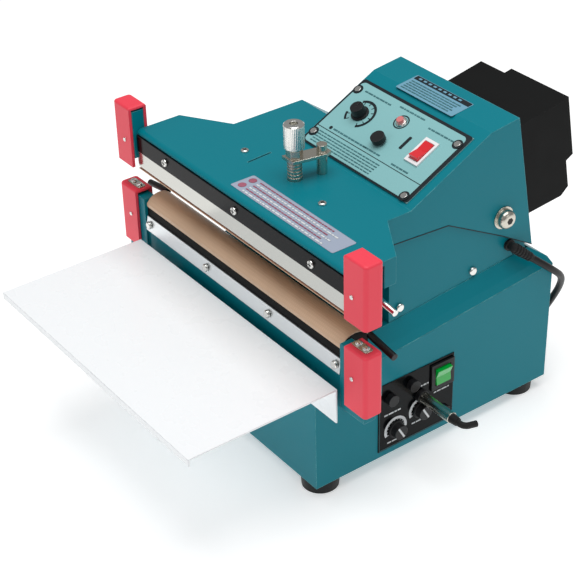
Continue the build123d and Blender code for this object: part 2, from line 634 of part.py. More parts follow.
def make_timer_knob():
    up = (Align.CENTER, Align.CENTER, Align.MIN)
    knob = on_panel(*TIMER_SPOT, 1.5) * Cylinder(9.0, 2.0, align=up)
    knob += on_panel(*TIMER_SPOT, 3.4) * Cone(7.4, 6.6, 9.0, align=up)
    knob += on_panel(*TIMER_SPOT, -8) * Cylinder(3.0, 10, align=up)
    return knob - on_panel(*TIMER_SPOT, 12.2) * Pos(0, 3.6, 0) * Box(1.2, 7.0, 1.4)


def make_cycle_button():
    up = (Align.CENTER, Align.CENTER, Align.MIN)
    cap = on_panel(*BUTTON_SPOT, 4.4) * Cylinder(7.0, 5.5, align=up)
    return cap + on_panel(*BUTTON_SPOT, -6) * Cylinder(3.5, 10.6, align=up)


def make_indicator_lamp():
    up = (Align.CENTER, Align.CENTER, Align.MIN)
    bezel = on_panel(*LAMP_SPOT, 1.2) * Cone(6.4, 5.2, 2.4, align=up)
    return bezel + on_panel(*LAMP_SPOT, 3.4) * Cylinder(3.6, 3.0, align=up) + on_panel(
        *LAMP_SPOT, -7) * Cylinder(4.7, 8.4, align=up)


def make_rocker_bezel():
    bezel = on_panel(*ROCKER_SPOT, 2.3) * Box(18.0, 30.0, 2.2)
    bezel += on_panel(*ROCKER_SPOT, -4.0) * Box(ROCKER_HOLE[0] - 0.4, ROCKER_HOLE[1] - 0.4, 10.4)
    return bezel - on_panel(*ROCKER_SPOT, 1.0) * Box(12.4, 23.4, 16.0)


def make_red_rocker():
    outline = [Vector(-5.7, b, a) for a, b in rocker_outline(10.4, 4.2)]
    rocker = extrude(Face(Wire.make_polygon(outline, close=True)), amount=11.4, dir=(1, 0, 0))
    return on_panel(*ROCKER_SPOT, 1.6) * Rot(-7, 0, 0) * rocker


def make_rear_housing():
    """Black cover on the leaning rear wall, with a raised back on its wider part."""
    narrow = [(0.05, 0), (54, 0), (54, 98), (44, 104), (0.05, 100)]
    wide = [(0.05, 0), (HOUSING_DEPTH, 0), (HOUSING_DEPTH, 65), (54, 68), (54, 98), (44, 104), (0.05, 100)]
    housing = side_profile([housing_point(*p) for p in narrow], 5, 38.1)
    housing += side_profile([housing_point(*p) for p in wide], 38, 115)
    pocket = [(-5, 2.5), (51, 2.5), (51, 97), (-5, 97)]
    return housing - side_profile([housing_point(*p) for p in pocket], 7.5, 112.5)


# ---------------------------------------------------------------- write the nodes
def write_base():
    save("base_tray", make_base_tray())
    save("bottom_plate", make_bottom_plate())
    save("top_cover", make_top_cover())
    feet, foot_screws = make_feet()
    save("rubber_feet", *feet)
    save("foot_screws", *foot_screws)
    cheek = drilled(make_cheek(), CHEEK_SCREWS, (1, 0, 0), 4.5)
    save("arm_bracket", cheek + make_front_web() + mirrored(cheek))
    side_screws = [pan_screw(seat, (1, 0, 0), 4.5, 3.2, 3.0) for seat in CHEEK_SCREWS]
    front_screws = [pan_screw(seat, (0, -1, 0), 4.0, 2.6, 3.0) for seat in TRAY_SCREWS]
    strip_screws = [pan_screw(seat, (0, -1, 0), 4.0, 2.6, 5.0) for seat in STRIP_SCREWS]
    save("base_screws", *side_screws, *[mirrored(s) for s in side_screws], *front_screws, *strip_screws)
    save("pivot_bushes", make_bush(1), make_bush(-1))
    save("worktable", make_worktable())


def write_lower_jaw():
    save("lower_jaw_beam", drilled(make_lower_beam(), STRIP_SCREWS, (0, -1, 0), 4.0, 10.0))
    save("clamp_strip", make_clamp_strip())
    save("heater_bar", make_heater_bar())
    save("heating_element", block(-155, 155, 20.2, 25.8, 196.0, 196.5))
    save("lower_ptfe_cover", make_lower_ptfe())
    bolt_seats = [(x, 12.0, LOWER_CAP_Z[1]) for x in (175.0, 185.0)]
    dot_seats = [(178.0, CAP_FRONT_Y, 170.0)]
    cap = drilled(make_cap(*LOWER_CAP_Z), bolt_seats, (0, 0, 1), 3.4)
    cap = drilled(cap, dot_seats, (0, -1, 0), 2.2)
    save("lower_cap_right", cap)
    save("lower_cap_left", mirrored(cap))
    bolts = [pan_screw(seat, (0, 0, 1), 3.4, 3.2, 2.0) for seat in bolt_seats]
    dots = [pan_screw(seat, (0, -1, 0), 2.2, 1.2, 2.0) for seat in dot_seats]
    save("lower_cap_screws", *dots, *bolts, *[mirrored(s) for s in dots + bolts])
    save("element_leads", *[make_tension_rod(s, 192.0, 186.5, 160.0, 194.0, 3.4) for s in (-1, 1)])


def write_side_controls():
    save("side_panel", make_side_panel())
    save("mains_switch_housing", make_switch_housing())
    save("green_rocker", make_green_rocker())
    for name, spot in DIAL_SPOTS.items():
        save(name, make_dial(spot))
    save("side_fittings", *make_panel_fittings(), make_jack_socket())
    save("jack_plug", make_jack_plug())


def write_inside():
    save("solenoid_frame", make_solenoid_frame())
    save("solenoid_coil", make_solenoid_coil())
    save("solenoid_plunger", make_plunger())
    save("return_spring", make_return_spring())
    core, windings = make_transformer()
    save("transformer_core", core)
    save("transformer_windings", *windings)
    save("circuit_board", make_circuit_board())


def write_cord():
    save("strain_relief", make_strain_relief())
    save("power_cord_run", make_cord_run())
    save("power_cord_coil", make_cord_coil())
    plug, blades = make_power_plug()
    save("power_plug", plug)
    save("plug_blades", *blades)


def write_arm():
    save("arm_cover", make_arm_cover())
    save("pivot_shaft", rod((-ARM_HALF_W + 0.1, PIVOT_Y, PIVOT_Z), (1, 0, 0), SHAFT_R, 2 * ARM_HALF_W - 0.2))
    save("pivot_nuts", make_pivot_bolt(1), make_pivot_bolt(-1))
    save("upper_jaw_beam", make_upper_beam())
    save("face_bar", make_face_bar())
    bar_screws = [pan_screw(seat, (0, -1, 0), 4.0, 2.6, 5.0) for seat in BAR_SCREWS]
    deck_screws = [pan_screw(seat, (0, 0, 1), 4.0, 2.4, 4.0) for seat in DECK_SCREWS]
    save("arm_screws", *bar_screws, *deck_screws)
    save("upper_rail", make_upper_strip())
    save("silicone_pad", make_pad(0.0, 2.2, 10, 36))
    save("upper_ptfe_cover", make_pad(2.3, 3.0, 8, 38))
    dot_seats = [(178.0, CAP_FRONT_Y, 254.0)]
    cap = drilled(make_cap(*UPPER_CAP_Z), dot_seats, (0, -1, 0), 2.2)
    save("upper_cap_right", cap)
    save("upper_cap_left", mirrored(cap))
    dots = [pan_screw(seat, (0, -1, 0), 2.2, 1.2, 2.0) for seat in dot_seats]
    panel_screws = [make_panel_screw(x, y) for x, y in PANEL_SCREWS]
    save("small_arm_screws", *dots, *[mirrored(s) for s in dots], *panel_screws)
    save("tension_pins", *[make_tension_rod(s, 236.5, 232.0, 160.6, 194.0, 3.0) for s in (-1, 1)])
    save("pull_rod", make_pull_rod())
    save("knob_bridge", make_knob_bridge())
    save("pressure_knob", make_pressure_knob())


def write_panel():
    save("control_panel", make_control_panel())
    save("recycle_timer_knob", make_timer_knob())
    save("cycle_button", make_cycle_button())
    save("indicator_lamp", make_indicator_lamp())
    save("rocker_bezel", make_rocker_bezel())
    save("red_rocker", make_red_rocker())
    save("rear_housing", make_rear_housing())


os.makedirs("parts", exist_ok=True)
write_base()
write_lower_jaw()
write_side_controls()
write_inside()
write_cord()
write_arm()
write_panel()
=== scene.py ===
import json
import math

import bmesh
import bpy
from mathutils import Euler, Matrix, Vector


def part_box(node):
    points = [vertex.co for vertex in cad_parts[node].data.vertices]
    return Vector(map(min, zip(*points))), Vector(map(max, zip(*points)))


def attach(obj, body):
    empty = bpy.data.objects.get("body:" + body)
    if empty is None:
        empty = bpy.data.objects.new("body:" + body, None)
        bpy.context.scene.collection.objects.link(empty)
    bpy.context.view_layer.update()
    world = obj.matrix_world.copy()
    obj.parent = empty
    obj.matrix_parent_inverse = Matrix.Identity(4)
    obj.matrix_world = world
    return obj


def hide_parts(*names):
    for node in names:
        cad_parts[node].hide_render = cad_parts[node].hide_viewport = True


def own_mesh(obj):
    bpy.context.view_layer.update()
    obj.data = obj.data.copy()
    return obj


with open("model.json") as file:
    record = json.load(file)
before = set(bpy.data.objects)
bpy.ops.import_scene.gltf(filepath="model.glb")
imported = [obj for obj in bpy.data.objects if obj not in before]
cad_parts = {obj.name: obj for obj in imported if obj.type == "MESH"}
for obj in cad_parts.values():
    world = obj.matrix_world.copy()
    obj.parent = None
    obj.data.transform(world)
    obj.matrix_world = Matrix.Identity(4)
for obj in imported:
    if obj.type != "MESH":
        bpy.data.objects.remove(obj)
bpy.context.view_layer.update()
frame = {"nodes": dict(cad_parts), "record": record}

# Positions below are in millimetres in the machine's own frame: x from the middle, y back from the
# front wall of the base, z up from the floor. The worktable's front edge is at y = -156.
TABLE_FRONT = -156.0
SHIFT_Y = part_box("worktable")[0].y * 1000 - TABLE_FRONT
PRINT = 0.25

DECK_Z = 266.5
PANEL_FOOT_Y = 117.0
PANEL_TILT = math.atan(0.5)
PANEL_NORMAL = Vector((0, -math.sin(PANEL_TILT), math.cos(PANEL_TILT)))
BOX_TOP_FRONT = (210.3, 313.15)
BOX_TOP_TILT = math.atan(4.05 / 33.7)
SIDE_X = 128.3
DIAL_FACE_X = 137.55
POINTER_DEG = -60.0
DIALS = {"timer_dial_front": (94.0, 41.0), "timer_dial_rear": (124.0, 50.0)}
TIMER = (-16.0, 167.0)
BUTTON = (29.5, 154.0)
LAMP = (30.0, 179.0)
ROCKER = (76.5, 164.5)
PIVOT = (230.0, 218.0)
PANEL_SCREWS = [(-43.0, 186.0), (100.0, 186.0), (100.0, 124.0), (-43.0, 132.0)]
BAR_SCREWS_X = (-115.0, 0.0, 115.0)
DECK_SCREWS = [(-65.0, 66.0), (59.0, 63.0)]
ARM_SIDE_X = 117.5
WALL_LEAN = math.atan2(270.6 - 244.0, 317.2 - 172.5)
HOUSING_TOP = (244.0 + (317.2 - 306.0) * math.tan(WALL_LEAN), 306.0)
HOUSING_DEPTH = 63.0
ARM_SEAM = [(90.0, 239.0), (162.0, 234.0), (230.0, 197.0), (270.6, 172.5)]
CORD_D = 7.0
BOOT_X = 173.2
LENS_FOOT, LENS_REACH = 3.7, 3.7


# ---------------------------------------------------------------- places
def metres(x, y, z):
    return Vector((x, y + SHIFT_Y, z)) / 1000


def place(x, y, z, rotation=(0, 0, 0)):
    """Matrix from a local frame in millimetres to the machine's frame in metres."""
    turn = Euler([math.radians(a) for a in rotation]).to_matrix().to_4x4()
    return Matrix.Translation(metres(x, y, z)) @ turn @ Matrix.Scale(0.001, 4)


def on_deck(x, y, lift=0.0, turn=0.0):
    return place(x, y, DECK_Z + lift, (0, 0, turn))


def on_panel(lift=1.2):
    """Sloping control panel: u is x, v runs up the slope from the panel's foot."""
    spot = Vector((0, PANEL_FOOT_Y, DECK_Z)) + PANEL_NORMAL * lift
    return place(*spot, (math.degrees(PANEL_TILT), 0, 0))


def on_box_top(lift=0.0):
    return place(0, BOX_TOP_FRONT[0], BOX_TOP_FRONT[1] + lift, (math.degrees(BOX_TOP_TILT), 0, 0))


def on_side(x=SIDE_X):
    """Right-hand wall seen from outside: u is the machine's y, v its z."""
    return place(x, 0, 0, (90, 0, 90))


def up_slope(y):
    return (y - PANEL_FOOT_Y) / math.cos(PANEL_TILT)


# ---------------------------------------------------------------- materials
def srgb(red, green, blue):
    values = [c / 255 for c in (red, green, blue)]
    return [c / 12.92 if c < 0.04045 else ((c + 0.055) / 1.055) ** 2.4 for c in values] + [1.0]


def add_node(tree, kind, **values):
    made = tree.nodes.new("ShaderNode" + kind)
    for name, value in values.items():
        if hasattr(made, name):
            setattr(made, name, value)
        else:
            made.inputs[name.replace("_", " ")].default_value = value
    return made


def add_noise(tree, scale, stretch=(1, 1, 1), detail=3.0):
    where = add_node(tree, "TexCoord")
    mapping = add_node(tree, "Mapping")
    mapping.inputs["Scale"].default_value = stretch
    noise = add_node(tree, "TexNoise", Scale=scale, Detail=detail)
    tree.links.new(where.outputs["Object"], mapping.inputs["Vector"])
    tree.links.new(mapping.outputs["Vector"], noise.inputs["Vector"])
    return noise.outputs["Fac"]


def remap(tree, socket, low, high, from_low=0.3, from_high=0.7):
    made = add_node(tree, "MapRange")
    for name, value in zip(("From Min", "From Max", "To Min", "To Max"), (from_low, from_high, low, high)):
        made.inputs[name].default_value = value
    tree.links.new(socket, made.inputs["Value"])
    return made.outputs["Result"]


def mix_colours(tree, factor, first, second):
    """first and second are colours or colour sockets."""
    mix = add_node(tree, "Mix", data_type="RGBA")
    tree.links.new(factor, mix.inputs["Factor"])
    for socket, value in ((mix.inputs[6], first), (mix.inputs[7], second)):
        if isinstance(value, list):
            socket.default_value = value
        else:
            tree.links.new(value, socket)
    return mix.outputs[2]


def edge_sharpness(tree, rounded):
    """1 on flat faces, falling towards 0 just before a sharp edge."""
    flat = add_node(tree, "NewGeometry")
    compare = add_node(tree, "VectorMath", operation="DOT_PRODUCT")
    tree.links.new(rounded.outputs["Normal"], compare.inputs[0])
    tree.links.new(flat.outputs["Normal"], compare.inputs[1])
    return compare.outputs["Value"]


def make_material(name, colour, rough, metal=0.0, coat=0.0, grain=500, relief=0.05, mottle=0.08,
                  edge_wear_and_highlight=None, stretch=(1, 1, 1), sheen=0.0, glow=0.0, rough_spread=0.02,
                  specular=0.3, edge=0.0008):
    """One finish: base colour with slow mottling, worn edges that also carry painted edge highlights, uneven
    gloss and a fine bump.
    """
    material = bpy.data.materials.new(name)
    material.use_nodes = True
    tree = material.node_tree
    shader = tree.nodes["Principled BSDF"]
    shader.inputs["Metallic"].default_value = metal
    shader.inputs["Specular IOR Level"].default_value = 0.5 if metal else specular
    shader.inputs["Coat Weight"].default_value = coat
    shader.inputs["Coat Roughness"].default_value = 0.08
    shader.inputs["Sheen Weight"].default_value = sheen
    shade = [c * (1 - 2 * mottle) for c in colour[:3]] + [1.0]
    tint = mix_colours(tree, remap(tree, add_noise(tree, 9, stretch), 0, 1), colour, shade)
    rounded = add_node(tree, "Bevel", samples=4, Radius=edge)
    # Sharp edges are mixed in patches towards the edge colour: worn edges, and on some finishes a painted
    # highlight along the edges.
    if edge_wear_and_highlight:
        edges = remap(tree, edge_sharpness(tree, rounded), 1, 0, 0.80, 0.99)
        edge_wear_and_highlight_mask = add_node(tree, "Math", operation="MULTIPLY")
        tree.links.new(edges, edge_wear_and_highlight_mask.inputs[0])
        tree.links.new(remap(tree, add_noise(tree, 90), 0.3, 1.0, 0.42, 0.62), edge_wear_and_highlight_mask.inputs[1])
        tint = mix_colours(tree, edge_wear_and_highlight_mask.outputs[0], tint, edge_wear_and_highlight)
    tree.links.new(tint, shader.inputs["Base Color"])
    gloss = remap(tree, add_noise(tree, 40, stretch), rough - rough_spread, rough + rough_spread)
    tree.links.new(gloss, shader.inputs["Roughness"])
    bump = add_node(tree, "Bump", Strength=relief, Distance=0.0006)
    tree.links.new(add_noise(tree, grain, stretch, 2.0), bump.inputs["Height"])
    tree.links.new(rounded.outputs["Normal"], bump.inputs["Normal"])
    tree.links.new(bump.outputs["Normal"], shader.inputs["Normal"])
    if glow:
        shader.inputs["Emission Color"].default_value = colour
        shader.inputs["Emission Strength"].default_value = glow
    return material


def make_cloth_material(name, warp, weft, pitch_mm):
    """Coated glass cloth: two crossed sets of threads under a dull coating."""
    material = make_material(name, warp, 0.42, coat=0.15, grain=900, relief=0.06, mottle=0.12)
    tree = material.node_tree
    shader = tree.nodes["Principled BSDF"]
    where = add_node(tree, "TexCoord")
    threads = add_node(tree, "Math", operation="MAXIMUM")
    for slot, direction in enumerate(("X", "Y")):
        wave = add_node(tree, "TexWave", bands_direction=direction)
        wave.inputs["Scale"].default_value = 1000 / (pitch_mm * 20) * math.pi
        tree.links.new(where.outputs["Object"], wave.inputs["Vector"])
        tree.links.new(wave.outputs["Fac"], threads.inputs[slot])
    old = shader.inputs["Base Color"].links[0].from_socket
    fade = remap(tree, threads.outputs[0], 0.0, 0.35, 0.5, 1.0)
    tree.links.new(mix_colours(tree, fade, old, weft), shader.inputs["Base Color"])
    bump = add_node(tree, "Bump", Strength=0.25, Distance=0.0003)
    tree.links.new(threads.outputs[0], bump.inputs["Height"])
    tree.links.new(bump.outputs["Normal"], shader.inputs["Normal"])
    return material


# The teal's pale edge colour is a painted highlight along its edges, laid over worn paint.
TEAL = make_material("teal enamel", srgb(0, 120, 134), 0.34, coat=0.03, grain=260, relief=0.03,
                     mottle=0.012, edge_wear_and_highlight=srgb(120, 196, 200), specular=0.16, edge=0.0012)
WHITE = make_material("white enamel", srgb(248, 251, 253), 0.28, coat=0.1, grain=300, relief=0.03,
                      mottle=0.004, edge_wear_and_highlight=srgb(200, 208, 212))
BLACK = make_material("black enamel", srgb(6, 8, 10), 0.16, grain=350, relief=0.02,
                      mottle=0.03, edge_wear_and_highlight=srgb(80, 82, 85), specular=0.12)
BLACK_TEXTURED = make_material("black textured enamel", srgb(14, 15, 15), 0.6, grain=900, relief=0.2,
                               mottle=0.05, edge_wear_and_highlight=srgb(52, 53, 54), specular=0.12)
RED = make_material("red moulding", srgb(240, 66, 84), 0.38, coat=0.03, grain=700, relief=0.08,
                    mottle=0.02, edge_wear_and_highlight=srgb(240, 120, 130))
RED_LENS = make_material("red lens", srgb(205, 30, 40), 0.12, coat=0.8, grain=200, relief=0.03,
                         mottle=0.1, glow=0.25)
GREEN_LENS = make_material("green lens", srgb(0, 158, 55), 0.14, coat=0.8, grain=200, relief=0.03,
                           mottle=0.1, glow=0.2)
DARK_PLASTIC = make_material("black moulding", srgb(26, 26, 28), 0.38, grain=900, relief=0.15,
                             mottle=0.15, edge_wear_and_highlight=srgb(70, 70, 72))
WHITE_PLASTIC = make_material("white moulding", srgb(236, 236, 238), 0.3, coat=0.2, grain=700,
                              relief=0.05, mottle=0.03, edge_wear_and_highlight=srgb(205, 205, 205))
RUBBER = make_material("black rubber", srgb(24, 24, 25), 0.62, grain=1200, relief=0.3, mottle=0.2,
                       edge_wear_and_highlight=srgb(58, 58, 58), sheen=0.1)
CORD_SKIN = make_material("lead sheath", srgb(20, 20, 21), 0.4, grain=900, relief=0.12, mottle=0.2,
                          rough_spread=0.08)
CHROME = make_material("bright plating", srgb(226, 226, 222), 0.12, metal=1.0, grain=200, relief=0.02,
                       mottle=0.02, edge_wear_and_highlight=srgb(240, 238, 232))
NICKEL = make_material("dull nickel", srgb(206, 202, 190), 0.24, metal=1.0, grain=500, relief=0.04,
                       mottle=0.05, edge_wear_and_highlight=srgb(232, 228, 216))
ALUMINIUM = make_material("drawn aluminium", srgb(232, 236, 238), 0.32, metal=1.0, grain=300,
                          relief=0.1, mottle=0.08, stretch=(0.03, 1, 1), edge_wear_and_highlight=srgb(235, 238, 240))
POLISHED = make_material("polished rail", srgb(206, 206, 200), 0.16, metal=1.0, grain=300,
                         relief=0.03, mottle=0.06, stretch=(0.03, 1, 1))
STEEL = make_material("ground steel", srgb(150, 152, 155), 0.32, metal=1.0, grain=400, relief=0.12,
                      mottle=0.15, stretch=(0.1, 1, 1), edge_wear_and_highlight=srgb(200, 200, 200))
BLACK_STEEL = make_material("blackened steel", srgb(52, 50, 48), 0.34, metal=0.8, grain=600,
                            relief=0.15, mottle=0.2, edge_wear_and_highlight=srgb(120, 116, 110))
BRONZE = make_material("sintered bronze", srgb(176, 134, 78), 0.4, metal=1.0, grain=1200, relief=0.2,
                       mottle=0.15, edge_wear_and_highlight=srgb(215, 180, 120))
COPPER = make_material("enamelled copper", srgb(168, 86, 42), 0.3, metal=0.7, grain=500, relief=0.2,
                       mottle=0.2, stretch=(1, 1, 4))
BOARD = make_material("circuit board", srgb(24, 92, 48), 0.35, coat=0.3, grain=500, relief=0.1, mottle=0.1)
SILICONE = make_material("silicone", srgb(196, 84, 58), 0.55, grain=600, relief=0.15, mottle=0.08, sheen=0.1)
PTFE = make_cloth_material("coated glass cloth", srgb(222, 188, 158), srgb(196, 164, 136), 1.2)
LABEL = make_material("pale teal film", srgb(132, 184, 186), 0.42, grain=900, relief=0.05, mottle=0.01,
                      edge_wear_and_highlight=srgb(150, 196, 196))
INK = make_material("black print", srgb(16, 28, 34), 0.42, grain=900, relief=0.05, mottle=0.15)
FADED_INK = make_material("faded print", srgb(70, 124, 130), 0.45, grain=900, relief=0.05, mottle=0.2)
WHITE_INK = make_material("white print", srgb(222, 226, 228), 0.42, grain=900, relief=0.05, mottle=0.06)
LILAC = make_material("pale lilac film", srgb(158, 168, 186), 0.4, grain=900, relief=0.05, mottle=0.02)
RED_INK = make_material("faded red print", srgb(170, 96, 116), 0.45, grain=900, relief=0.05, mottle=0.15)
PLATE_BLUE = make_material("pale blue plate", srgb(112, 162, 184), 0.35, grain=600, relief=0.06, mottle=0.06)
LENS_CLEAR = make_material("pale red lens", srgb(205, 120, 120), 0.12, coat=0.8, grain=200, relief=0.03,
                           mottle=0.1, glow=0.1)

SLOT_MATERIALS = {
    "teal_paint": TEAL, "white_paint": WHITE, "black_paint": BLACK, "red_plastic": RED,
    "green_plastic": GREEN_LENS, "black_plastic": DARK_PLASTIC, "white_plastic": WHITE_PLASTIC,
    "rubber": RUBBER, "chrome": CHROME, "aluminium": ALUMINIUM, "panel_label": LABEL,
    "ptfe_fabric": PTFE, "silicone": SILICONE, "steel": STEEL, "black_steel": BLACK_STEEL,
    "bronze": BRONZE, "copper": COPPER, "board": BOARD,
}
NODE_MATERIALS = {
    "rear_housing": BLACK_TEXTURED, "red_rocker": RED_LENS, "upper_rail": POLISHED,
    "pivot_nuts": NICKEL, "knob_bridge": NICKEL, "jack_plug": NICKEL, "pull_rod": NICKEL,
    "element_leads": DARK_PLASTIC,
    "side_panel": BLACK, "heater_bar": BLACK_TEXTURED, "power_plug": CORD_SKIN, "strain_relief": RUBBER,
}


def dress_cad_nodes():
    slots = {part["node"]: part["material_slot"] for part in frame["record"]["subparts"]}
    for name, node in frame["nodes"].items():
        node.data.materials.clear()
        node.data.materials.append(NODE_MATERIALS.get(name, SLOT_MATERIALS[slots[name]]))


# ---------------------------------------------------------------- small shapes
def add_object(name, data):
    made = bpy.data.objects.new(name, data)
    bpy.context.scene.collection.objects.link(made)
    return made


def new_piece(name, mesh, material, body):
    piece = add_object(name, mesh)
    mesh.materials.append(material)
    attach(piece, body)
    return piece


def prisms(outlines, height, where):
    """Mesh of flat outlines raised by height in the local frame."""
    shape = bmesh.new()
    for outline in outlines:
        low = [shape.verts.new((u, v, 0)) for u, v in outline]
        high = [shape.verts.new((u, v, height)) for u, v in outline]
        shape.faces.new(high)
        shape.faces.new(low[::-1])
        for i in range(len(outline)):
            j = (i + 1) % len(outline)
            shape.faces.new((low[i], low[j], high[j], high[i]))
    shape.transform(where)
    bmesh.ops.recalc_face_normals(shape, faces=shape.faces)
    mesh = bpy.data.meshes.new("prisms")
    shape.to_mesh(mesh)
    shape.free()
    return mesh


def print_on(name, outlines, where, material, body, height=PRINT):
    return new_piece(name, prisms(outlines, height, where), material, body)


def rectangle(u0, u1, v0, v1, radius=0.0, steps=5):
    if not radius:
        return [(u0, v0), (u1, v0), (u1, v1), (u0, v1)]
    corners = [(u1 - radius, v0 + radius, -90), (u1 - radius, v1 - radius, 0),
               (u0 + radius, v1 - radius, 90), (u0 + radius, v0 + radius, 180)]
    outline = []
    for u, v, start in corners:
        for step in range(steps + 1):
            angle = math.radians(start + 90 * step / steps)
            outline.append((u + radius * math.cos(angle), v + radius * math.sin(angle)))
    return outline


def disc(u, v, radius, steps=32):
    angles = [2 * math.pi * step / steps for step in range(steps)]
    return [(u + radius * math.cos(a), v + radius * math.sin(a)) for a in angles]


def arc_band(u, v, inner, outer, start, end, steps=28):
    angles = [math.radians(start + (end - start) * step / steps) for step in range(steps + 1)]
    outside = [(u + outer * math.cos(a), v + outer * math.sin(a)) for a in angles]
    return outside + [(u + inner * math.cos(a), v + inner * math.sin(a)) for a in reversed(angles)]


def tick(u, v, inner, outer, degrees, width):
    angle = math.radians(degrees)
    along = Vector((math.cos(angle), math.sin(angle)))
    across = Vector((-along.y, along.x)) * width / 2
    spot = Vector((u, v))
    ends = (along * inner - across, along * outer - across, along * outer + across, along * inner + across)
    return [tuple(spot + end) for end in ends]


def text_rows(u0, u1, v, rows, pitch, height, seed):
    """Rows of short bars that stand for small print; they spell nothing."""
    bars = []
    for row in range(rows):
        u = u0
        step = seed + row * 5
        end = u1 - (step * 7 % 5) * (u1 - u0) * 0.06
        while u < end:
            step += 1
            width = 2.0 + (step * 37 % 11) * 0.45
            top = v - row * pitch
            bars.append(rectangle(u, min(u + width, u1), top - height, top))
            u += width + 1.0
    return bars


def text_row(u0, u1, v, height, seed):
    return text_rows(u0, u1, v, 1, 0, height, seed)


# ---------------------------------------------------------------- printed and fitted details
def print_control_panel():
    where = on_panel(1.25)
    over = on_panel(1.3 + PRINT)
    foot, head = up_slope(120.0), up_slope(198.0)
    print_on("panel_border", [rectangle(-48, 108, foot - 0.2, head + 0.2, 3)], where, INK, "arm")
    print_on("panel_field", [rectangle(-45.6, 103.8, foot + 1.6, head - 3.2, 5)], over, LABEL, "arm")
    top = on_panel(1.35 + 2 * PRINT)
    timer_v, lamp_v, button_v, rocker_v = [up_slope(p[1]) for p in (TIMER, LAMP, BUTTON, ROCKER)]
    divider = up_slope(139.0)
    lines = [rectangle(-45.6, 103.8, divider, divider + 0.6)]
    lines += [arc_band(TIMER[0], timer_v, 14.2, 16.8, -62, 128)]
    lines += [arc_band(TIMER[0], timer_v, 14.2, 16.4, 196, 232)]
    lines += [tick(TIMER[0], timer_v, 11.5, 14.4, 232 - 29 * i, 0.7) for i in range(11)]
    lines += [arc_band(LAMP[0], lamp_v, 7.0, 8.2, 0, 359)]
    lines += [rectangle(51.5, 55.0, rocker_v - 8, rocker_v + 8, 1.2)]
    lines += [disc(-30, divider + 4.2, 1.9)]
    lines += [arc_band(x, up_slope(y), 3.4, 5.4, 0, 359) for x, y in PANEL_SCREWS]
    print_on("panel_marks", lines, top, INK, "arm")
    small = text_row(-34, 4, timer_v + 24, 1.5, 3)
    small += text_row(14, 52, lamp_v + 14, 1.5, 9)
    small += text_row(60, 98, rocker_v + 25, 1.5, 5)
    small += text_row(18, 44, button_v - 11.5, 1.5, 2)
    small += text_row(60, 86, rocker_v - 24, 1.5, 4)
    small += text_row(-26, 30, divider + 5.2, 1.6, 1)
    small += text_rows(-38, 78, divider - 3.4, 5, 3.1, 1.1, 7)
    print_on("panel_small_print", small, top, FADED_INK, "arm")


def print_name_plate():
    """Plain plate on top of the box: a pale field, a black band and rows of bars."""
    where = on_box_top(0.05)
    print_on("name_plate", [rectangle(-10, 70, -6.5, 21.5, 1.5)], where, PLATE_BLUE, "arm")
    over = on_box_top(0.1 + PRINT)
    print_on("name_plate_band", [rectangle(-8, 69, 14.6, 20.6, 0.8)], over, INK, "arm")
    print_on("name_plate_rows", text_rows(-6, 64, 11.5, 5, 3.4, 1.4, 3), over, FADED_INK, "arm")
    stripe = [rectangle(-3 + 7 * i, 1 + 7 * i, 16.2, 18.6) for i in range(9)]
    print_on("name_plate_stripe", stripe, on_box_top(0.15 + 2 * PRINT), PLATE_BLUE, "arm")


def print_caution_label():
    where = on_deck(0, 0, 0.05)
    over = on_deck(0, 0, 0.1 + PRINT)
    print_on("deck_label", [rectangle(-22, 130, 19, 46, 2)], where, LILAC, "arm")
    print_on("deck_label_rows", text_rows(-6, 126, 42.5, 3, 8.0, 1.5, 4), over, RED_INK, "arm")
    print_on("deck_label_white_rows", text_rows(-6, 126, 38.5, 3, 8.0, 1.9, 6), over, WHITE_INK, "arm")
    print_on("deck_label_mark", [disc(-14, 39, 4), disc(-14, 27, 4)], over, RED_INK, "arm")


def print_side_panel():
    where = on_side(SIDE_X + 0.02)
    marks = []
    for y, z in DIALS.values():
        marks.append(arc_band(y, z, 10.8, 13.8, -10, 205))
        marks += [tick(y, z, 9.6, 10.9, -10 + 21.5 * i, 0.7) for i in range(11)]
        marks += text_row(y - 10, y + 10, z - 12.6, 1.5, int(y))
    marks += text_row(80, 100, 62.5, 1.6, 3)
    marks += text_row(114, 134, 77.5, 1.6, 8)
    marks += text_row(141, 160, 62.0, 1.4, 5)
    print_on("side_marks", marks, where, WHITE_INK, "base")
    edge = [rectangle(74.0, 164.5, 22.0, 22.5), rectangle(74.0, 74.5, 22.0, 97.0)]
    print_on("side_panel_edge", edge, where, FADED_INK, "base")
    for name, (y, z) in DIALS.items():
        pointer = tick(y, z, -7.0, 7.0, POINTER_DEG, 2.0)
        print_on(f"{name}_line", [pointer], on_side(DIAL_FACE_X), WHITE_INK, name, 0.1)


def screw_recess_shade():
    """Painted shade: dark crosses laid on the heads of the larger screws where their recesses are, standing
    for the shade inside them.
    """
    cross = [rectangle(-2.6, 2.6, -0.55, 0.55), rectangle(-0.55, 0.55, -2.6, 2.6)]
    spots = {f"bar_recess_shade_{i}": place(x, 5.38, 253.0, (90, 0, 0)) for i, x in enumerate(BAR_SCREWS_X)}
    spots |= {f"deck_recess_shade_{i}": on_deck(x, y, 2.38, 20) for i, (x, y) in enumerate(DECK_SCREWS)}
    for name, where in spots.items():
        print_on(name, cross, where, BLACK_STEEL, "arm", 0.05)


def seam_shade_strip():
    """Painted shade: a thin dark strip along the arm cover's lower edge, over the upright, where the seam
    shows dark.
    """
    for name, side in (("right", 1), ("left", -1)):
        upper = [(y, z + 0.9) for y, z in ARM_SEAM]
        strip = ARM_SEAM + upper[::-1]
        where = on_side(side * (ARM_SIDE_X + 0.15) - 0.15)
        print_on(f"seam_shade_strip_{name}", [strip], where, INK, "arm", 0.3)


